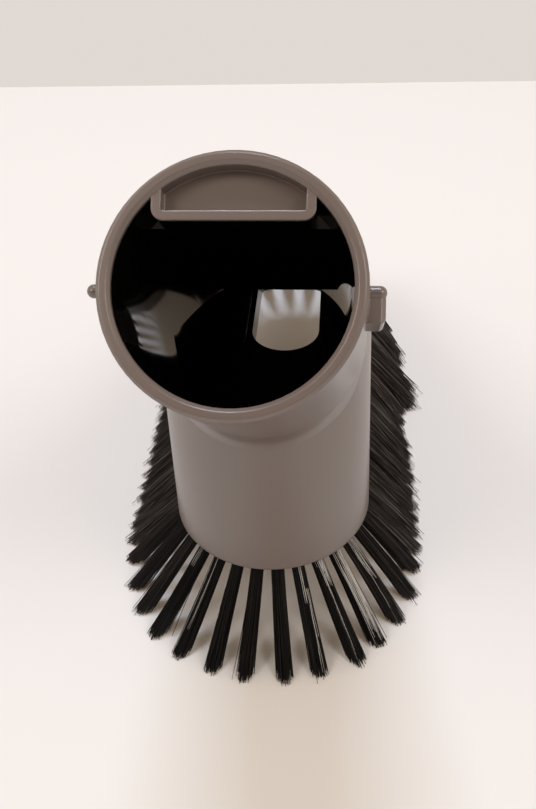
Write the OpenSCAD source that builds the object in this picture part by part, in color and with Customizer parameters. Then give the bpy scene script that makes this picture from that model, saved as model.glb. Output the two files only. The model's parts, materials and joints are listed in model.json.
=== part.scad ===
// Vacuum dusting brush. A slanted neck with a wand socket runs into a long head,
// and the head's rim holds a carrier with splayed bristle tufts round a suction window.
// Millimetres, +Z up. The tuft tips stand on Z = 0, and the origin lies under the
// middle of the whole brush. The mouth looks forwards and up, towards -Y.

/* [Neck] */
// Inside diameter of the mouth, which a wand slides into
bore_d = 35; // [33:0.5:36]
// Width of the ring round the mouth
ring_w = 2.1; // [1.9:0.1:2.6]
// Growth of the neck's outside radius from the mouth to its inner end
neck_flare = 1.6; // [1:0.1:1.8]
// Tilt of the neck above level
neck_angle = 44; // [41:1:47]
// Distance along the neck from the mouth to the plane over the near end's centre
neck_reach = 59.5; // [54:0.5:66]
// Height of the neck's axis over the near end's centre
neck_h = 66.6; // [63:0.2:70]
// Bevel on the outer edge of the ring
ring_bevel = 0.5; // [0.3:0.1:0.8]
// Lead-in bevel on the inner edge of the ring
lead_in = 0.6; // [0.2:0.1:0.7]
// Length of the inner lip that stops the duct liner at the mouth
lip_len = 1.2; // [0.8:0.2:2]

/* [Mouth pocket] */
// Width of the pocket block across the top of the mouth
pocket_w = 23.8; // [21:0.2:26]
// Distance from the bore's axis to the pocket's flat underside and the ceiling behind it
pocket_level = 9.4; // [8:0.2:11]
// Thickness of the lip round the pocket
pocket_wall = 1.4; // [1.3:0.1:1.6]
// Rounding of the pocket block's lower corners
pocket_corner = 1.8; // [1.6:0.1:2.4]
// Length of the pocket block along the bore
pocket_len = 5.5; // [5:0.5:8]
// Depth of the pocket's floor below its front edge
recess_depth = 2.8; // [2:0.2:3.4]
// How far the pocket's front edge stands back from the mouth
pocket_setback = 0.5; // [0:0.1:0.7]

/* [Side pegs and tab] */
// Diameter of the round pegs on both sides of the neck
peg_d = 2.1; // [1.4:0.1:2.4]
// Reach of the pegs beyond the mouth
peg_reach = 2.7; // [2:0.1:3.2]
// Distance of the pegs' axis from the mouth
peg_from_mouth = 5.8; // [3:0.1:10]
// Reach of the tab under the right peg
tab_reach = 2.5; // [2:0.1:3.2]
// Drop of the tab below the pegs' axis
tab_drop = 4.6; // [3:0.1:7]
// Length of the tab along the neck
tab_len = 8; // [5:0.5:12]
// How far the tab's front stands back from the front of the peg
tab_setback = 0.3; // [0.2:0.1:0.6]
// Bevel on the tab's outer front edge
tab_bevel = 0.6; // [0.3:0.1:0.8]
// Rounding of the tab's lower outer corner
tab_corner = 0.9; // [0.4:0.1:1.4]

/* [Head] */
// Width of the head at its rim
head_w = 45.4; // [44.4:0.2:48]
// Length of the head at its rim
head_l = 130.4; // [122:0.2:142]
// Height of the rim above the table
rim_h = 20.6; // [18:0.2:23]
// Wall of the head
wall = 2; // [1.6:0.1:2.4]
// Draft of the head's sides, in degrees
head_draft = 1.2; // [0.6:0.1:1.5]
// Distance from the near end's centre to where the neck's top runs into the roof
roof_start = 30; // [26:1:34]
// Height of the roof line over the far end of the head
rear_h = 34.4; // [33:0.2:38]
// Crown radius across the roof
crown_r = 30; // [27:1:40]
// Rounding of the roof's far end
toe_r = 9; // [7:0.5:12]
// Radius of the hollow between the neck and the front wall
crease_r = 10; // [6:0.5:14]

/* [Duct liner] */
// Wall of the black liner
liner_t = 0.9; // [0.7:0.1:1.1]
// Thinner wall of the liner round the pocket block
pocket_skin = 0.6; // [0.5:0.1:0.7]
// Depth below the mouth at which the liner's flat ceiling ends
ceiling_depth = 53.5; // [46:0.5:55]
// Clearance between the housing, the liner and the carrier
fit = 0.1; // [0.05:0.05:0.2]

/* [Bristle carrier] */
// Thickness of the carrier
plate_t = 8; // [7:0.2:9]
// Width of the suction window
window_w = 18.6; // [14:0.2:19.6]
// Distance from the near end's centre to the window's round near edge
window_near = 46.6; // [42:0.5:52]
// Distance from the near end's centre to the window's straight far edge
window_far = 88.5; // [80:0.5:91]
// Corner radius of the window's far edge
window_corner = 2.5; // [1.5:0.5:4]
// Thickness of the guide ribs beside the window
rib_t = 1; // [0.8:0.1:1.4]
// Height of the guide ribs
rib_h = 3; // [1.6:0.2:4]
// Space between the window and each guide rib
rib_space = 1.2; // [0.6:0.1:2]
// Number of moulding pockets in the carrier's underside
core_pockets = 3; // [1:1:4]
// Skin left above the moulding pockets
core_skin = 2.5; // [1.6:0.1:3.5]
// Web between the moulding pockets
core_web = 1.8; // [1.2:0.1:2.6]

/* [Tufts] */
// Radius of a tuft in its hole
tuft_r = 1.3; // [1.1:0.05:1.35]
// Radius of a tuft at its trimmed tip
tip_r = 1.9; // [1.6:0.1:2.2]
// How far the middle of a tip stands out past the rim
tip_reach = 13.5; // [9:0.1:15]
// Distance from the rim's outside to the middle of a tuft where it leaves the carrier
root_inset = 4.2; // [4:0.1:4.6]
// Depth of a tuft in its hole
seat_depth = 4.4; // [3.6:0.1:4.8]
// Clearance round a tuft in its hole
tuft_fit = 0.05; // [0.02:0.01:0.08]
// Tufts round each end
end_tufts = 14; // [12:1:14]
// Groups of tufts along each side
side_groups = 6; // [5:1:6]
// Tufts in each side group
group_tufts = 3; // [2:1:3]
// Height of the flat wire anchor that holds a tuft
anchor_h = 0.9; // [0.6:0.1:1.1]
// Thickness of the anchor wire
anchor_t = 0.4; // [0.3:0.05:0.6]

/* [Hidden] */
$fn = 96;
grey = [0.36, 0.33, 0.31];
black = [0.04, 0.04, 0.045];
bristle_black = [0.09, 0.085, 0.08];
wire_grey = [0.62, 0.62, 0.6];

// Overcut that keeps cutting faces off the faces they cut
over = 1;
bore_r = bore_d / 2;
mouth_r = bore_r + ring_w;
liner_r = bore_r + liner_t;
sleeve_r = liner_r + fit;
neck_end_r = mouth_r + neck_flare;
head_r = head_w / 2;
span = head_l - head_w;

// Neck: the mouth's centre, and the depth at which the neck ends inside the head
mouth_y = -neck_reach * cos(neck_angle);
mouth_z = neck_h + neck_reach * sin(neck_angle);
neck_depth = neck_reach + (roof_start + 2 - neck_end_r * sin(neck_angle)) / cos(neck_angle);
flare_angle = atan(neck_flare / neck_depth);

// Roof: the line that starts on the neck's top and falls to the far end
roof_start_z = neck_h - roof_start * tan(neck_angle) + neck_end_r / cos(neck_angle);
roof_angle = atan((roof_start_z - rear_h) / (span + head_r - roof_start));
roof_top = roof_start_z + (roof_start + 2 * head_r) * tan(roof_angle);

// Carrier: its top face, and the tilt of the tufts from upright
plate_top = rim_h + plate_t;
plate_inset = wall + fit;
root_r = head_r - root_inset;
tuft_lean = atan((tip_reach + root_inset) / rim_h);
tuft_len = rim_h / cos(tuft_lean);
side_tufts = side_groups * group_tufts;
side_pitch = span / side_tufts;

// Seats of the tufts: the point that each leans away from, and the way it leans
end_step = 180 / end_tufts;
near_seats = [for (i = [0:end_tufts - 1]) [0, 180 + (i + 0.5) * end_step]];
far_seats = [for (i = [0:end_tufts - 1]) [span, (i + 0.5) * end_step]];
right_seats = [for (i = [0:side_tufts - 1]) [(i + 0.5) * side_pitch, 0]];
left_seats = [for (i = [0:side_tufts - 1]) [(i + 0.5) * side_pitch, 180]];

// The whole brush lies evenly about the origin from front to back
tip_edge = head_r + tip_reach + tip_r / cos(tuft_lean);
front_y = min(mouth_y - (mouth_r - ring_bevel) * sin(neck_angle), -tip_edge);
back_y = span + tip_edge * cos(end_step / 2);
shift_y = -(front_y + back_y) / 2;

// Places its children in the brush's own frame
module in_place() {
    translate([0, shift_y, 0]) children();
}

// Frame of the mouth: +Z out of the mouth, +Y towards its top
module at_mouth() {
    translate([0, mouth_y, mouth_z]) rotate([90 - neck_angle, 0, 0]) children();
}

// A round plug down the neck from the mouth
module neck_plug(radius, from, to) {
    at_mouth() translate([0, 0, -to]) cylinder(r = radius, h = to - from);
}

// Long round-ended block with drafted sides, between two heights
module drafted_block(inset, low, high) {
    low_r = head_r - inset - (low - rim_h) * tan(head_draft);
    high_r = head_r - inset - (high - rim_h) * tan(head_draft);
    for (end_y = [0, span]) {
        translate([0, end_y, low]) cylinder(r1 = low_r, r2 = high_r, h = high - low);
    }
    translate([0, span, 0]) rotate([90, 0, 0]) linear_extrude(height = span) {
        polygon([[-low_r, low], [low_r, low], [high_r, high], [-high_r, high]]);
    }
}

// Side view of the roof, from the front to the rounded toe, seen along X
module roof_profile(inset) {
    far_y = span + head_r;
    toe_y = far_y - toe_r;
    toe_z = rear_h + toe_r * tan(roof_angle) - toe_r / cos(roof_angle);
    radius = toe_r - inset;
    top_at_toe = [toe_y + radius * sin(roof_angle), toe_z + radius * cos(roof_angle)];
    run = top_at_toe[0] + 2 * head_r;
    polygon([
        [-2 * head_r, -over],
        [toe_y + radius, -over],
        [toe_y + radius, toe_z],
        top_at_toe,
        [-2 * head_r, top_at_toe[1] + run * tan(roof_angle)]
    ]);
    translate([toe_y, toe_z]) circle(r = radius);
}

// Everything under the crowned roof
module under_roof(inset) {
    crown_len = head_l + 4 * head_r;
    width = 2 * (crown_r - inset);
    intersection() {
        translate([width / 2, 0, 0]) rotate([90, 0, -90]) mirror([1, 0, 0]) {
            linear_extrude(height = width) roof_profile(inset);
        }
        translate([0, roof_start, roof_start_z]) rotate([90 - roof_angle, 0, 0]) {
            translate([0, -crown_r, -crown_len / 2]) linear_extrude(height = crown_len) {
                circle(r = crown_r - inset);
                translate([-width / 2, -2 * roof_top]) square([width, 2 * roof_top]);
            }
        }
    }
}

// Shape of the head, or of a space inside it, above a given height
module head_form(inset, low) {
    intersection() {
        drafted_block(inset, low, roof_top);
        under_roof(inset);
    }
}

// Outside of the neck, with a bevelled ring at the mouth
module neck_form() {
    at_mouth() rotate_extrude() {
        polygon([
            [0, 0],
            [mouth_r - ring_bevel, 0],
            [mouth_r, -ring_bevel],
            [neck_end_r, -neck_depth],
            [0, -neck_depth]
        ]);
    }
}

// Hollow blend in the corner where the underside of the neck meets the front wall:
// an elbow that turns from the line of the one to the line of the other
module crease_blend() {
    neck_line = neck_angle + flare_angle;
    wall_line = 90 + head_draft;
    neck_low = [mouth_y - mouth_r * sin(neck_angle), mouth_z - mouth_r * cos(neck_angle)];
    slope = tan(neck_line);
    draft = tan(head_draft);
    // The corner lies on both lines
    corner_y = (draft * (neck_low[1] + neck_low[0] * slope - rim_h) - head_r) / (1 + draft * slope);
    corner_z = neck_low[1] - (corner_y - neck_low[0]) * slope;
    turn = wall_line - neck_line;
    middle = (neck_line + wall_line) / 2;
    // A little short of tangent, so that both ends of the elbow stay inside
    centre_far = (crease_r - fit / 2) / cos(turn / 2);
    elbow_r = min(neck_end_r - neck_flare / 2, head_r - (corner_z - rim_h) * draft) - fit;
    translate([0, corner_y - centre_far * sin(middle), corner_z - centre_far * cos(middle)]) {
        rotate([90, 0, 90]) rotate([0, 0, 90 - wall_line]) rotate_extrude(angle = turn) {
            translate([crease_r + elbow_r, 0]) circle(r = elbow_r);
        }
    }
}

// Outline of the pocket block across the bore, with rounded lower corners
module pocket_outline(inset) {
    half_w = pocket_w / 2 - inset;
    level = pocket_level + inset;
    corner = pocket_corner - inset;
    translate([-half_w, level + corner]) square([2 * half_w, bore_r]);
    translate([corner - half_w, level]) square([2 * (half_w - corner), bore_r]);
    for (side = [-1, 1]) {
        translate([side * (half_w - corner), level + corner]) circle(r = corner);
    }
}

// The pocket's outline drawn out between two depths below the mouth
module pocket_prism(inset, from, to) {
    at_mouth() translate([0, 0, -to]) linear_extrude(height = to - from) pocket_outline(inset);
}

// Keyed pocket block at the top of the mouth: a lip, with a smaller box behind it
module pocket_block() {
    difference() {
        intersection() {
            union() {
                pocket_prism(0, pocket_setback, lip_len - fit);
                pocket_prism(pocket_skin + fit, pocket_setback, pocket_len);
            }
            neck_plug(sleeve_r + ring_w / 4, 0, pocket_len);
        }
        intersection() {
            pocket_prism(pocket_wall, -over, pocket_setback + recess_depth);
            neck_plug(bore_r, -over, pocket_len);
        }
    }
}

// The part of the bore above a level, between two depths below the mouth
module bore_above(level, from, to) {
    at_mouth() translate([0, 0, -to]) linear_extrude(height = to - from) intersection() {
        circle(r = bore_r);
        translate([-bore_r, level]) square([2 * bore_r, bore_r]);
    }
}

// What the liner keeps out of the bore: a wall round the pocket block, then a flat ceiling
module bore_ceiling() {
    pocket_prism(0, 0, pocket_len + fit + liner_t);
    bore_above(pocket_level, pocket_len + fit, ceiling_depth);
}

// Room in the liner for the pocket block, and the empty space above the ceiling
module ceiling_room() {
    pocket_prism(pocket_skin, 0, pocket_len + fit + liner_t + over);
    bore_above(pocket_level + liner_t, pocket_len + fit + liner_t, ceiling_depth - liner_t);
}

// Round peg on each side of the neck, with a domed end
module side_pegs() {
    from_x = mouth_r - ring_w / 2;
    dome_x = mouth_r + peg_reach - peg_d / 2;
    at_mouth() for (side = [0, 1]) mirror([side, 0, 0]) translate([0, 0, -peg_from_mouth]) {
        translate([from_x, 0, 0]) rotate([0, 90, 0]) cylinder(d = peg_d, h = dome_x - from_x);
        translate([dome_x, 0, 0]) sphere(d = peg_d);
    }
}

// Tab that hangs under the right peg: its outline along the neck, cut to its outline from above
module side_tab() {
    from_x = mouth_r - ring_w / 2;
    out_x = mouth_r + tab_reach;
    front = peg_from_mouth - peg_d / 2 + tab_setback;
    at_mouth() intersection() {
        translate([0, 0, -front - tab_len]) linear_extrude(height = tab_len) {
            translate([from_x, tab_corner - tab_drop]) square([out_x - from_x, tab_drop - tab_corner]);
            translate([from_x, -tab_drop]) square([out_x - from_x - tab_corner, tab_drop]);
            translate([out_x - tab_corner, tab_corner - tab_drop]) circle(r = tab_corner);
        }
        rotate([90, 0, 0]) linear_extrude(height = tab_drop) polygon([
            [from_x, -front],
            [out_x - tab_bevel, -front],
            [out_x, -front - tab_bevel],
            [out_x, -front - tab_len],
            [from_x, -front - tab_len]
        ]);
    }
}

module housing() {
    color(grey) in_place() {
        difference() {
            union() {
                neck_form();
                head_form(0, rim_h);
                crease_blend();
                side_pegs();
                side_tab();
            }
            neck_plug(bore_r, -over, lip_len + over);
            at_mouth() translate([0, 0, -lead_in]) {
                cylinder(r1 = bore_r, r2 = bore_r + lead_in + over, h = lead_in + over);
            }
            neck_plug(sleeve_r, lip_len, neck_depth);
            head_form(wall, rim_h - over);
        }
        pocket_block();
    }
}

// Black liner: a flat-topped sleeve up the neck that opens into a hood inside the head
module duct_liner() {
    color(black) in_place() difference() {
        union() {
            neck_plug(liner_r, lip_len, neck_depth - over);
            head_form(plate_inset, plate_top + fit);
        }
        difference() {
            neck_plug(bore_r, 0, neck_depth);
            bore_ceiling();
        }
        head_form(plate_inset + liner_t, plate_top - over);
        ceiling_room();
    }
}

// Outline of the suction window: a round near end and a straight far edge
module window_outline() {
    half_w = window_w / 2;
    translate([0, window_near + half_w]) circle(r = half_w);
    translate([-half_w, window_near + half_w]) {
        square([window_w, window_far - window_near - half_w - window_corner]);
    }
    translate([window_corner - half_w, window_near + half_w]) {
        square([window_w - 2 * window_corner, window_far - window_near - half_w]);
    }
    for (side = [-1, 1]) {
        translate([side * (half_w - window_corner), window_far - window_corner]) circle(r = window_corner);
    }
}

// Guide ribs along both sides of the window, joined by a cross rib behind it
module window_ribs() {
    rib_x = window_w / 2 + rib_space;
    near_y = window_near - rib_space;
    far_y = window_far + rib_space;
    translate([0, 0, plate_top - over]) linear_extrude(height = rib_h + over) {
        for (side = [-1, 1]) {
            translate([side * (rib_x + rib_t / 2) - rib_t / 2, near_y]) square([rib_t, far_y - near_y]);
        }
        translate([-rib_x - rib_t, far_y]) square([2 * (rib_x + rib_t), rib_t]);
    }
}

// Moulding pockets in the underside, between the near end and the window
module core_pockets_cut() {
    low_y = -window_w / 2;
    pitch = (window_near - core_web - low_y) / core_pockets;
    translate([0, 0, rim_h - over]) linear_extrude(height = plate_t - core_skin + over) {
        for (i = [0:core_pockets - 1]) {
            translate([-window_w / 2, low_y + i * pitch]) square([window_w, pitch - core_web]);
        }
    }
}

// Places its children along a tuft: +Z points from the carrier's underside to the tip
module along_tuft(seat) {
    translate([0, seat[0], 0]) rotate([0, 0, seat[1]])
        translate([root_r, 0, rim_h]) rotate([0, 180 - tuft_lean, 0]) children();
}

module tuft_hole(seat) {
    depth = seat_depth + anchor_h;
    along_tuft(seat) translate([0, 0, -depth]) {
        cylinder(r = tuft_r + tuft_fit, h = depth + 2 * tuft_r);
    }
}

module bristle_carrier() {
    color(black) in_place() difference() {
        union() {
            drafted_block(plate_inset, rim_h, plate_top);
            window_ribs();
        }
        translate([0, 0, rim_h - over]) linear_extrude(height = plate_t + 2 * over) window_outline();
        core_pockets_cut();
        for (seat = concat(near_seats, far_seats, left_seats, right_seats)) {
            tuft_hole(seat);
        }
    }
}

// One tuft: straight in its hole, flaring to a tip that is trimmed level
module tuft(seat) {
    past_tip = 2 * tip_r;
    slope = (tip_r - tuft_r) / tuft_len;
    color(bristle_black) in_place() difference() {
        along_tuft(seat) {
            translate([0, 0, -seat_depth]) cylinder(r = tuft_r, h = seat_depth);
            cylinder(r1 = tuft_r, r2 = tip_r + past_tip * slope, h = tuft_len + past_tip);
        }
        translate([-head_l, -head_l, -head_l]) cube([2 * head_l, 3 * head_l, head_l]);
    }
}

// Flat wire anchors, one at the bottom of each tuft hole
module tuft_anchors() {
    anchor_w = 2 * (tuft_r - anchor_t / 2);
    for (seat = concat(near_seats, far_seats, left_seats, right_seats)) {
        color(wire_grey) in_place() along_tuft(seat) {
            translate([-anchor_t / 2, -anchor_w / 2, -seat_depth - anchor_h]) cube([anchor_t, anchor_w, anchor_h]);
        }
    }
}

module side_group(seats, group) {
    for (i = [0:group_tufts - 1]) {
        tuft(seats[group * group_tufts + i]);
    }
}

housing();
duct_liner();
bristle_carrier();
tuft_anchors();
for (i = [1:end_tufts]) {
    tuft(near_seats[i - 1]);
    tuft(far_seats[i - 1]);
}
for (i = [1:side_groups]) {
    side_group(left_seats, i - 1);
    side_group(right_seats, i - 1);
}
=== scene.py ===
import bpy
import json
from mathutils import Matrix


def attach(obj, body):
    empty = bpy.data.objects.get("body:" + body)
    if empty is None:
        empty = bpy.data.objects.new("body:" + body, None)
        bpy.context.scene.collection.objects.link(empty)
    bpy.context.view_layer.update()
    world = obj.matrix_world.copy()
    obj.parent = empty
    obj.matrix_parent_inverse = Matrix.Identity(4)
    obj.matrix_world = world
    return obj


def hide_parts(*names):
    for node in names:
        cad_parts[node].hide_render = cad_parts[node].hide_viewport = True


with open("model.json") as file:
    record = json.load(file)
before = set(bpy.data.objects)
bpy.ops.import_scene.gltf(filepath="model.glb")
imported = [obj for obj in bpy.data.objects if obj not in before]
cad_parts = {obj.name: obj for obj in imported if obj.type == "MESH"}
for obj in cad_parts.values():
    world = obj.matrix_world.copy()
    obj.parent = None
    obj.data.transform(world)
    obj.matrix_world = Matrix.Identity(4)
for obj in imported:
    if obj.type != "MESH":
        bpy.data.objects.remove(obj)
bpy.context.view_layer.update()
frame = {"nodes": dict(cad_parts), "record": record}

import json
import math
import random

import bpy
from mathutils import Matrix, Vector

MM = 0.001
NODES = frame["nodes"]


# Camera

# The photograph's height, and the camera that was worked out from it, in a frame whose origin lies
# on the floor under the centre of the head's near end
PHOTO_H = 809
FOCAL_PX = 910.33
SENSOR_MM = 36.0
CAMERA_MM = Vector((15.85, -150.74, 178.29))
CAMERA_YAW = math.radians(6.053)
CAMERA_PITCH = math.radians(40.447)
CAMERA_ROLL = math.radians(-3.008)
CLIP_NEAR, CLIP_FAR = 0.01, 20
# The mouth's centre lies this far in front of the near end's centre
MOUTH_AHEAD_MM = 42.80


def near_centre():
    """The point on the floor under the centre of the head's near end."""
    socket = next(m for m in frame["record"]["mounts"] if m["name"] == "wand_socket")
    return Vector((0, socket["pos_m"][1] + MOUTH_AHEAD_MM * MM, 0))


NEAR = near_centre()


def add_camera():
    data = bpy.data.cameras.new("camera")
    data.sensor_fit = "AUTO"
    data.sensor_width = SENSOR_MM
    data.lens = FOCAL_PX / PHOTO_H * SENSOR_MM
    data.clip_start, data.clip_end = CLIP_NEAR, CLIP_FAR
    camera = bpy.data.objects.new("camera", data)
    bpy.context.scene.collection.objects.link(camera)
    level = math.cos(CAMERA_PITCH)
    forward = Vector((
        -math.sin(CAMERA_YAW) * level,
        math.cos(CAMERA_YAW) * level,
        -math.sin(CAMERA_PITCH),
    ))
    right = Vector((math.cos(CAMERA_YAW), math.sin(CAMERA_YAW), 0))
    up = right.cross(forward)
    along, across = math.cos(CAMERA_ROLL), math.sin(CAMERA_ROLL)
    right, up = right * along + up * across, up * along - right * across
    axes = Matrix((right, up, -forward)).transposed().to_4x4()
    camera.matrix_world = Matrix.Translation(NEAR + CAMERA_MM * MM) @ axes
    bpy.context.scene.camera = camera


# Node trees

# Sockets of a colour mix: the two colours that go in, and the one that comes out
FIRST, SECOND, RESULT = 6, 7, 2


def ramp(tree, source, stops):
    """Colour ramp over a source, from (place, colour) stops."""
    node = tree.nodes.new("ShaderNodeValToRGB")
    elements = node.color_ramp.elements
    while len(elements) < len(stops):
        elements.new(0.5)
    for element, (place, colour) in zip(elements, stops):
        element.position = place
        element.color = (*colour, 1)
    tree.links.new(source, node.inputs["Fac"])
    return node.outputs["Color"]


def grey_ramp(tree, source, stops):
    return ramp(tree, source, [(place, (level,) * 3) for place, level in stops])


def calculate(tree, operation, first, second):
    """Result of a sum on two outputs, or on an output and a number."""
    node = tree.nodes.new("ShaderNodeMath")
    node.operation = operation
    tree.links.new(first, node.inputs[0])
    if isinstance(second, float):
        node.inputs[1].default_value = second
    else:
        tree.links.new(second, node.inputs[1])
    return node.outputs[0]


def colour_mix(tree):
    node = tree.nodes.new("ShaderNodeMix")
    node.data_type = "RGBA"
    return node


def multiply(tree, first, second):
    node = colour_mix(tree)
    node.blend_type = "MULTIPLY"
    node.inputs["Factor"].default_value = 1
    tree.links.new(first, node.inputs[FIRST])
    tree.links.new(second, node.inputs[SECOND])
    return node.outputs[RESULT]


def seen_rays(tree):
    """1 for the rays in which a viewer sees things, and 0 for those that only carry light."""
    path = tree.nodes.new("ShaderNodeLightPath")
    seen = path.outputs["Is Camera Ray"]
    for kind in ("Is Glossy Ray", "Is Transmission Ray"):
        seen = calculate(tree, "MAXIMUM", seen, path.outputs[kind])
    return seen


# Light

# Warm light from the room
SKY_COLOUR = (0.48, 0.395, 0.315)
# Cooler window light from nearly overhead
KEY_COLOUR = (0.79, 0.87, 1.0)
KEY_WATTS = 6.6
KEY_PLACE = (-0.08, 0.27, 1.18)
KEY_SIZE = (0.36, 0.3)
# Pale fill from both sides of the viewer, and its direction in degrees
FILL_COLOUR = (1.0, 0.93, 0.86)
FILL_WATTS = 4.5
FILL_SIZE = (0.5, 0.5)
FILL_DISTANCE = 1.5
FILL_AZIMUTH = 55
FILL_HEIGHT = 48
# The point that all lamps face
TARGET = Vector((0, 0, 0.04))
# Brightness of the room against height (level to overhead), against depth (in front, where the
# viewer stands, to behind) and across (left to right)
SKY_BY_HEIGHT = [(0, 0.9), (0.45, 1.0), (1, 0.95)]
SKY_BY_DEPTH = [(0, 0.12), (0.1, 0.35), (0.2, 1.1), (0.35, 1.2), (0.5, 1.0), (1, 1.3)]
SKY_ACROSS = [(0, 2.1), (0.12, 1.6), (0.3, 0.85), (0.7, 0.8), (0.88, 1.6), (1, 2.1)]
# The pale room past the table's edge, as the camera, mirrors and glass see it, and how that gives
# way to the sky above
ROOM_COLOUR = (0.75, 0.69, 0.65)
ROOM_BY_HEIGHT = [(0, 1), (0.25, 1), (0.35, 0)]


def sky_ramp(tree, source, low, stops):
    """Grey ramp over one part of the direction of a sky ray, which runs from low to 1."""
    spread = tree.nodes.new("ShaderNodeMapRange")
    spread.inputs["From Min"].default_value = low
    tree.links.new(source, spread.inputs["Value"])
    return grey_ramp(tree, spread.outputs["Result"], stops)


def add_sky():
    """Warm room, dimmer in front where the viewer stands, with a pale background."""
    world = bpy.data.worlds.new("world")
    bpy.context.scene.world = world
    world.use_nodes = True
    tree = world.node_tree
    coords = tree.nodes.new("ShaderNodeTexCoord")
    split = tree.nodes.new("ShaderNodeSeparateXYZ")
    tree.links.new(coords.outputs["Generated"], split.inputs["Vector"])
    tint = tree.nodes.new("ShaderNodeRGB")
    tint.outputs[0].default_value = (*SKY_COLOUR, 1)
    glow = tint.outputs[0]
    for axis, low, stops in (
        ("Z", 0, SKY_BY_HEIGHT),
        ("Y", -1, SKY_BY_DEPTH),
        ("X", -1, SKY_ACROSS),
    ):
        glow = multiply(tree, glow, sky_ramp(tree, split.outputs[axis], low, stops))
    low_part = sky_ramp(tree, split.outputs["Z"], 0, ROOM_BY_HEIGHT)
    room = colour_mix(tree)
    tree.links.new(calculate(tree, "MULTIPLY", seen_rays(tree), low_part), room.inputs["Factor"])
    tree.links.new(glow, room.inputs[FIRST])
    room.inputs[SECOND].default_value = (*ROOM_COLOUR, 1)
    tree.links.new(room.outputs[RESULT], tree.nodes["Background"].inputs["Color"])


def add_lamp(name, place, size, watts, colour):
    """Rectangular lamp that faces the target."""
    data = bpy.data.lights.new(name, "AREA")
    data.shape = "RECTANGLE"
    data.size, data.size_y = size
    data.energy = watts
    data.color = colour
    lamp = bpy.data.objects.new(name, data)
    bpy.context.scene.collection.objects.link(lamp)
    lamp.location = place
    lamp.rotation_euler = (TARGET - Vector(place)).to_track_quat("-Z", "Y").to_euler()


def add_lights():
    add_sky()
    add_lamp("window_light", KEY_PLACE, KEY_SIZE, KEY_WATTS, KEY_COLOUR)
    height = math.radians(FILL_HEIGHT)
    level = FILL_DISTANCE * math.cos(height)
    top = FILL_DISTANCE * math.sin(height)
    for name, side in (("fill_left", -1), ("fill_right", 1)):
        azimuth = math.radians(side * FILL_AZIMUTH)
        place = (level * math.sin(azimuth), -level * math.cos(azimuth), top)
        add_lamp(name, place, FILL_SIZE, FILL_WATTS, FILL_COLOUR)


# Table

FLOOR_COLOUR = (0.825, 0.84, 0.865)
# How much of the floor's brightness is a painted glow, not the light that falls on it
LIFT = 0.09
# Colour of that painted glow, warm so that it paints warmth into the floor's shadows
LIFT_COLOUR = (1.0, 0.73, 0.5)
# How far the table reaches past the head's near end, and to the front and the sides
TABLE_AHEAD = 0.31
TABLE_REACH = 3


def floor_material():
    """Pale matt paint; a painted warm glow lifts its shadows a little where a viewer sees them."""
    mat, tree, shader = new_material("floor_paint")
    shader.inputs["Roughness"].default_value = 0.9
    shader.inputs["Specular IOR Level"].default_value = 0.1
    seen = seen_rays(tree)
    tint = colour_mix(tree)
    tint.inputs[FIRST].default_value = (*FLOOR_COLOUR, 1)
    tint.inputs[SECOND].default_value = (*[c * (1 - LIFT) for c in FLOOR_COLOUR], 1)
    tree.links.new(seen, tint.inputs["Factor"])
    tree.links.new(tint.outputs[RESULT], shader.inputs["Base Color"])
    tree.links.new(calculate(tree, "MULTIPLY", seen, LIFT), shader.inputs["Emission Strength"])
    shader.inputs["Emission Color"].default_value = (*LIFT_COLOUR, 1)
    return mat


def add_stage():
    far_y = NEAR.y + TABLE_AHEAD
    corners = [(x, y, 0) for x, y in (
        (-TABLE_REACH, -TABLE_REACH),
        (TABLE_REACH, -TABLE_REACH),
        (TABLE_REACH, far_y),
        (-TABLE_REACH, far_y),
    )]
    mesh = bpy.data.meshes.new("floor")
    mesh.from_pydata(corners, [], [(0, 1, 2, 3)])
    mesh.materials.append(floor_material())
    floor = bpy.data.objects.new("floor", mesh)
    bpy.context.scene.collection.objects.link(floor)


# Materials

# Height of the fine grain in moulded plastic, and the radius at which its edges catch the light
GRAIN_HEIGHT = 0.1 * MM
EDGE_R = 0.35 * MM


def new_material(name):
    mat = bpy.data.materials.new(name)
    mat.use_nodes = True
    tree = mat.node_tree
    return mat, tree, tree.nodes["Principled BSDF"]


def noise(tree, scale, detail):
    """Noise over the object's own coordinates, which are in metres."""
    coords = tree.nodes.new("ShaderNodeTexCoord")
    node = tree.nodes.new("ShaderNodeTexNoise")
    node.inputs["Scale"].default_value = scale
    node.inputs["Detail"].default_value = detail
    node.inputs["Roughness"].default_value = 0.55
    tree.links.new(coords.outputs["Object"], node.inputs["Vector"])
    return node.outputs["Fac"]


def cloud_colour(tree, shader, stops, scale, detail=3):
    """Gives a base colour that drifts between two tones, and returns the noise that drives it."""
    cloud = noise(tree, scale, detail)
    tree.links.new(ramp(tree, cloud, stops), shader.inputs["Base Color"])
    return cloud


def add_grain(tree, shader, strength):
    """Gives the normals a fine grain, and returns the bump node that does so."""
    node = tree.nodes.new("ShaderNodeBump")
    node.inputs["Strength"].default_value = strength
    node.inputs["Distance"].default_value = GRAIN_HEIGHT
    tree.links.new(noise(tree, scale=1800, detail=2), node.inputs["Height"])
    tree.links.new(node.outputs["Normal"], shader.inputs["Normal"])
    return node


def soften_edges(tree, target):
    """Catches the light along moulded edges, in the normals that a target node starts from."""
    node = tree.nodes.new("ShaderNodeBevel")
    node.samples = 8
    node.inputs["Radius"].default_value = EDGE_R
    tree.links.new(node.outputs["Normal"], target.inputs["Normal"])


def housing_material():
    """Warm grey moulded plastic with a satin face and very slight clouding."""
    mat, tree, shader = new_material("housing_plastic")
    tones = [(0, (0.143, 0.109, 0.094)), (1, (0.163, 0.127, 0.111))]
    cloud_colour(tree, shader, tones, scale=25, detail=2)
    shader.inputs["Roughness"].default_value = 0.29
    shader.inputs["Specular IOR Level"].default_value = 0.95
    soften_edges(tree, shader)
    return mat


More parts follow.
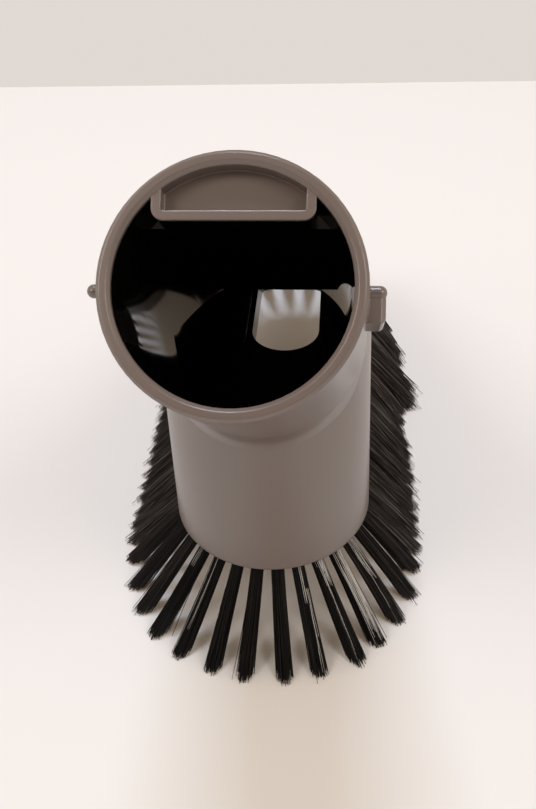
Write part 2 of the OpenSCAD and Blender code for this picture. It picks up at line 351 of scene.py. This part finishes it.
def liner_material():
    """Gloss black plastic, its black partly painted shade for the deep bore."""
    mat, tree, shader = new_material("liner_plastic")
    tones = [(0.3, (0.002, 0.002, 0.0021)), (0.7, (0.0032, 0.0031, 0.0032))]
    cloud = cloud_colour(tree, shader, tones, scale=90)
    gloss = grey_ramp(tree, cloud, [(0.3, 0.035), (0.7, 0.049)])
    tree.links.new(gloss, shader.inputs["Roughness"])
    shader.inputs["Specular IOR Level"].default_value = 0.3
    add_grain(tree, shader, strength=0.015)
    return mat


def carrier_material():
    """Black plastic a little less glossy than the liner's, its black partly painted shade in the
    head.
    """
    mat, tree, shader = new_material("carrier_plastic")
    tones = [(0.3, (0.005, 0.005, 0.005)), (0.7, (0.008, 0.0075, 0.008))]
    cloud_colour(tree, shader, tones, scale=90)
    shader.inputs["Roughness"].default_value = 0.16
    soften_edges(tree, add_grain(tree, shader, strength=0.03))
    return mat


def wire_material():
    """Dull steel wire."""
    mat, tree, shader = new_material("anchor_wire")
    tones = [(0.3, (0.5, 0.5, 0.48)), (0.7, (0.62, 0.62, 0.6))]
    cloud_colour(tree, shader, tones, scale=900)
    shader.inputs["Metallic"].default_value = 1.0
    shader.inputs["Roughness"].default_value = 0.35
    return mat


def bristle_material():
    """Black nylon up to tone 0.6, greying there as painted sheen, pale threads above, by each
    strand's tone.
    """
    mat, tree, shader = new_material("bristle")
    tone = tree.nodes.new("ShaderNodeAttribute")
    tone.attribute_name = "tone"
    tint = ramp(tree, tone.outputs["Fac"], [
        (0, (0.004, 0.0035, 0.0035)),
        (0.3, (0.012, 0.0105, 0.01)),
        (0.6, (0.09, 0.072, 0.066)),
        (0.8, (0.42, 0.41, 0.4)),
        (1, (0.7, 0.7, 0.68)),
    ])
    tree.links.new(tint, shader.inputs["Base Color"])
    shader.inputs["Roughness"].default_value = 0.38
    shader.inputs["Specular IOR Level"].default_value = 0.22
    return mat


def dress_cad_nodes():
    for name, mat in (
        ("housing", housing_material()),
        ("duct_liner", liner_material()),
        ("bristle_carrier", carrier_material()),
        ("tuft_anchors", wire_material()),
    ):
        mesh = NODES[name].data
        mesh.materials.clear()
        mesh.materials.append(mat)


# Bristles

# Filaments in a tuft, their radius and the lengths that each is made of
FILAMENTS = 220
FILAMENT_R = 0.098 * MM
STEPS = 4
# Radius of a tuft at its root and at its tip
ROOT_R = 1.3 * MM
TIP_R = 1.85 * MM
# How unevenly filaments stand: part of their distance from the middle, and turn about it
UNEVEN_R = (0.94, 1.04)
UNEVEN_TURN = 0.3
GOLDEN = math.pi * (3 - math.sqrt(5))
# How far a whole tuft leans sideways, how far each tip strays, and how unevenly tips are trimmed
LEAN_MM = 0.25
STRAY_MM = 0.26
TRIM_MM = 0.22
# Share of the filaments that stray much further, and how many times
LOOSE_SHARE = 0.012
LOOSE_TIMES = (1.5, 4)
# Pale threads: radius of a thread, the lengths that it is made of, its lift off the tuft and its
# tones
THREAD_R = 0.055 * MM
THREAD_STEPS = 6
THREAD_LIFT = 0.14 * MM
THREAD_TONES = (0.8, 1)
# The least part of its stretch that a thread covers, and in parts of the tuft's radius how far it
# drifts and wobbles across, and how far out it can lie
THREAD_SHORTEST = 0.35
THREAD_DRIFT = 0.25
THREAD_WOBBLE = 0.06
THREAD_EDGE = 0.95
# Tones of the filaments: nearly black in the middle of the near end, a little greyer at its
# corners, and greyer still along the sides and at the far end, a painted sheen where the filaments
# are seen along their length
MIDDLE_TUFTS = range(4, 12)
MIDDLE_TONES = (0, 0.3)
CORNER_TONES = (0.1, 0.47)
SHEEN_TONES = (0.26, 0.68)

# How far use has pushed the tip of some near tufts sideways, to the right, in mm
SWAY_MM = {
    1: 0.5, 2: 0.4, 4: -0.9, 5: -0.9, 6: -0.3, 7: -0.6,
    9: -0.2, 10: 0.7, 11: -0.7, 12: -1.2, 13: -1.4, 14: -2.0,
}
# Pale threads on the upper side of some near tufts: how many, the part of the tuft's length that
# they lie along, and the part of its width, from -1 at the left to 1 at the right
PALE_THREADS = {
    4: [(3, 0.1, 0.4, -0.3, 0.3)],
    5: [(2, 0.0, 0.95, -0.75, -0.45), (2, 0.1, 0.8, 0.2, 0.5)],
    6: [(1, 0.1, 0.9, -0.8, -0.7)],
    9: [(3, 0.0, 0.5, -0.1, 0.15), (3, 0.4, 1.0, 0.1, 0.6)],
    10: [(14, 0.0, 0.45, -0.6, 0.5), (3, 0.0, 1.0, -0.2, 0.1)],
    11: [(32, 0.0, 1.0, -0.7, 0.7)],
    12: [(12, 0.0, 0.6, -0.7, 0.5), (2, 0.4, 1.0, -0.5, 0.0)],
}
# Up to this number, threads run along their whole part of the length, and above it less
FEW_THREADS = 3
# How far each group on the right has been bent in at its tips, in mm
RIGHT_BEND_MM = {1: -2.0, 2: -2.3, 3: -2.8, 4: -3.9, 5: -1.0, 6: -3.6}
# How far one of them has also been bent forwards, and how much its tufts differ
RIGHT_DRIFT_MM = {5: -2.6}
DRIFT_JITTER_MM = 0.6
# How far the tufts at the far end have been bent out, except some at its right corner, which have
# been bent in: how far to the right, and how far back
FAR_BEND_MM = (0, 2.6)
CORNER_BEND_MM = {1: (-4.4, -1.0), 2: (-4.0, -1.6), 3: (-3.0, -2.4), 4: (-1.5, 0)}
# How many times further the tips stray along the sides, and in groups that have been crushed
SIDE_SPREAD = 1.8
CRUSHED = {4: 1.8, 5: 3.0, 6: 2.2}
# The foot of a CAD tuft lies under this height, and its other end within this depth of its top
FOOT_Z = 0.05 * MM
HEAD_Z = 2.2 * MM
# Where the seeds of the side groups start, and the step from one group to the next
SIDE_SEED = 1000
SEED_STEP = 10


def tuft_axes(node, count):
    """(root, tip) of each tuft in a node, in order along Y where there are several."""
    points = [v.co.copy() for v in NODES[node].data.vertices]
    foot = sorted((p for p in points if p.z < FOOT_Z), key=lambda p: p.y)
    low = foot[0].y
    pitch = (foot[-1].y - low) / count
    axes = []
    for i in range(count):
        part = [p for p in foot if i * pitch <= p.y - low <= (i + 1) * pitch]
        tip = sum(part, Vector()) / len(part)
        own = [p for p in points if count == 1 or abs(p.y - tip.y) < pitch / 2]
        top = max(p.z for p in own)
        head = [p for p in own if p.z > top - HEAD_Z]
        axes.append((sum(head, Vector()) / len(head), tip))
    return axes


class Strands:
    """Mesh data of three-sided strands, each with its own tone."""

    SIDES = 3
    END_SIZE = 0.75

    def __init__(self):
        self.verts, self.faces, self.tones = [], [], []

    def add(self, path, radius, tone):
        start = len(self.verts)
        last = len(path) - 1
        for i, point in enumerate(path):
            along = (path[min(i + 1, last)] - path[max(i - 1, 0)]).normalized()
            side = along.orthogonal().normalized()
            other = along.cross(side)
            size = radius * (self.END_SIZE if i == last else 1)
            for k in range(self.SIDES):
                angle = 2 * math.pi * k / self.SIDES
                out = side * math.cos(angle) + other * math.sin(angle)
                self.verts.append(point + out * size)
        for i in range(last):
            for k in range(self.SIDES):
                a = start + self.SIDES * i + k
                b = start + self.SIDES * i + (k + 1) % self.SIDES
                self.faces.append((a, b, b + self.SIDES, a + self.SIDES))
        end = start + self.SIDES * last
        self.faces.append((end, end + 1, end + 2))
        self.faces.append((start + 2, start + 1, start))
        self.tones += [tone] * (self.SIDES * last + 2)

    def make_piece(self, node, material):
        """The piece that takes a CAD node's place."""
        name = node + "_bristles"
        mesh = bpy.data.meshes.new(name)
        mesh.from_pydata(self.verts, [], self.faces)
        mesh.attributes.new("tone", "FLOAT", "FACE").data.foreach_set("value", self.tones)
        mesh.polygons.foreach_set("use_smooth", [True] * len(mesh.polygons))
        mesh.materials.append(material)
        obj = bpy.data.objects.new(name, mesh)
        bpy.context.scene.collection.objects.link(obj)
        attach(obj, "root")
        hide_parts(node)


class Tuft:
    """Bundle of filaments from a root to a trimmed tip, bent by a vector at the tip, in mm."""

    def __init__(self, strands, root, tip, bend, rng):
        self.strands, self.root, self.rng = strands, root, rng
        self.length = (tip - root).length
        self.axis = (tip - root).normalized()
        self.side = Vector((0, 0, 1)).cross(self.axis).normalized()
        self.over = self.axis.cross(self.side)
        self.bend = bend * MM + self.side * rng.uniform(-LEAN_MM, LEAN_MM) * MM

    def point(self, part, offset, shift):
        """Point beside the axis at a part of the length, with the shift that its tip gets."""
        return self.root + self.axis * (self.length * part) + offset + shift * part ** 2

    def add_filaments(self, tones, spread=1.0):
        rng = self.rng
        for i in range(FILAMENTS):
            r = math.sqrt((i + 0.5) / FILAMENTS) * rng.uniform(*UNEVEN_R)
            turn = i * GOLDEN + rng.uniform(-UNEVEN_TURN, UNEVEN_TURN)
            offset = self.side * (r * math.cos(turn)) + self.over * (r * math.sin(turn))
            stray = self.side * rng.gauss(0, STRAY_MM) + self.over * rng.gauss(0, STRAY_MM)
            stray = stray * spread
            if rng.random() < LOOSE_SHARE * spread:
                stray = stray * rng.uniform(*LOOSE_TIMES) / spread
            shift = stray * MM + self.bend
            end_z = abs(rng.gauss(0, TRIM_MM)) * MM + FILAMENT_R
            path = []
            for k in range(STEPS + 1):
                part = k / STEPS
                path.append(self.point(part, offset * width(part), shift))
            trim(path, end_z)
            self.strands.add(path, FILAMENT_R, rng.uniform(*tones))

    def add_pale_threads(self, threads):
        rng = self.rng
        for number, near_end, far_end, left, right in threads:
            for i in range(number):
                reach = far_end - near_end
                if number > FEW_THREADS:
                    reach *= rng.uniform(THREAD_SHORTEST, 1)
                start = near_end + (far_end - near_end - reach) * rng.random()
                across, drift = rng.uniform(left, right), rng.uniform(-THREAD_DRIFT, THREAD_DRIFT)
                path = []
                for k in range(THREAD_STEPS + 1):
                    part = start + reach * k / THREAD_STEPS
                    wobble = rng.uniform(-THREAD_WOBBLE, THREAD_WOBBLE)
                    x = across + drift * k / THREAD_STEPS + wobble
                    x = max(-THREAD_EDGE, min(THREAD_EDGE, x))
                    lift = math.sqrt(1 - x * x) * width(part) + THREAD_LIFT
                    offset = self.side * (x * width(part)) + self.over * lift
                    path.append(self.point(part, offset, self.bend))
                self.strands.add(path, THREAD_R, rng.uniform(*THREAD_TONES))


def width(part):
    """Radius of a tuft at a part of its length."""
    return ROOT_R + (TIP_R - ROOT_R) * part


def trim(path, end_z):
    """Shortens or lengthens the last stretch of a path, so that it ends at a height."""
    above, below = path[-2], path[-1]
    drop = above.z - below.z
    if below.z >= end_z:
        drop = max(drop, MM)
    path[-1] = above + (below - above) * ((above.z - end_z) / drop)


def add_bristles():
    material = bristle_material()
    for seed, node in enumerate(sorted(n for n in NODES if "_tuft_" in n)):
        end, index = node.split("_tuft_")
        index = int(index)
        strands = Strands()
        root, tip = tuft_axes(node, 1)[0]
        rng = random.Random(seed)
        if end == "near":
            bend = Vector((SWAY_MM.get(index, 0), 0, 0))
            tuft = Tuft(strands, root, tip, bend, rng)
            tuft.add_filaments(MIDDLE_TONES if index in MIDDLE_TUFTS else CORNER_TONES)
            tuft.add_pale_threads(PALE_THREADS.get(index, ()))
        else:
            bend = Vector((*CORNER_BEND_MM.get(index, FAR_BEND_MM), 0))
            Tuft(strands, root, tip, bend, rng).add_filaments(SHEEN_TONES)
        strands.make_piece(node, material)
    for seed, node in enumerate(sorted(n for n in NODES if "_tufts_" in n)):
        hand, index = node.split("_tufts_")
        index = int(index)
        strands = Strands()
        for k, (root, tip) in enumerate(tuft_axes(node, 3)):
            rng = random.Random(SIDE_SEED + SEED_STEP * seed + k)
            bend, spread = Vector(), SIDE_SPREAD
            if hand == "right":
                drift = rng.uniform(-DRIFT_JITTER_MM, DRIFT_JITTER_MM)
                drift += RIGHT_DRIFT_MM.get(index, 0)
                bend = Vector((RIGHT_BEND_MM[index], drift, 0))
                spread = CRUSHED.get(index, SIDE_SPREAD)
            Tuft(strands, root, tip, bend, rng).add_filaments(SHEEN_TONES, spread)
        strands.make_piece(node, material)


scene = bpy.context.scene
scene.view_settings.view_transform = "Standard"
add_camera()
add_lights()
add_stage()
dress_cad_nodes()
add_bristles()
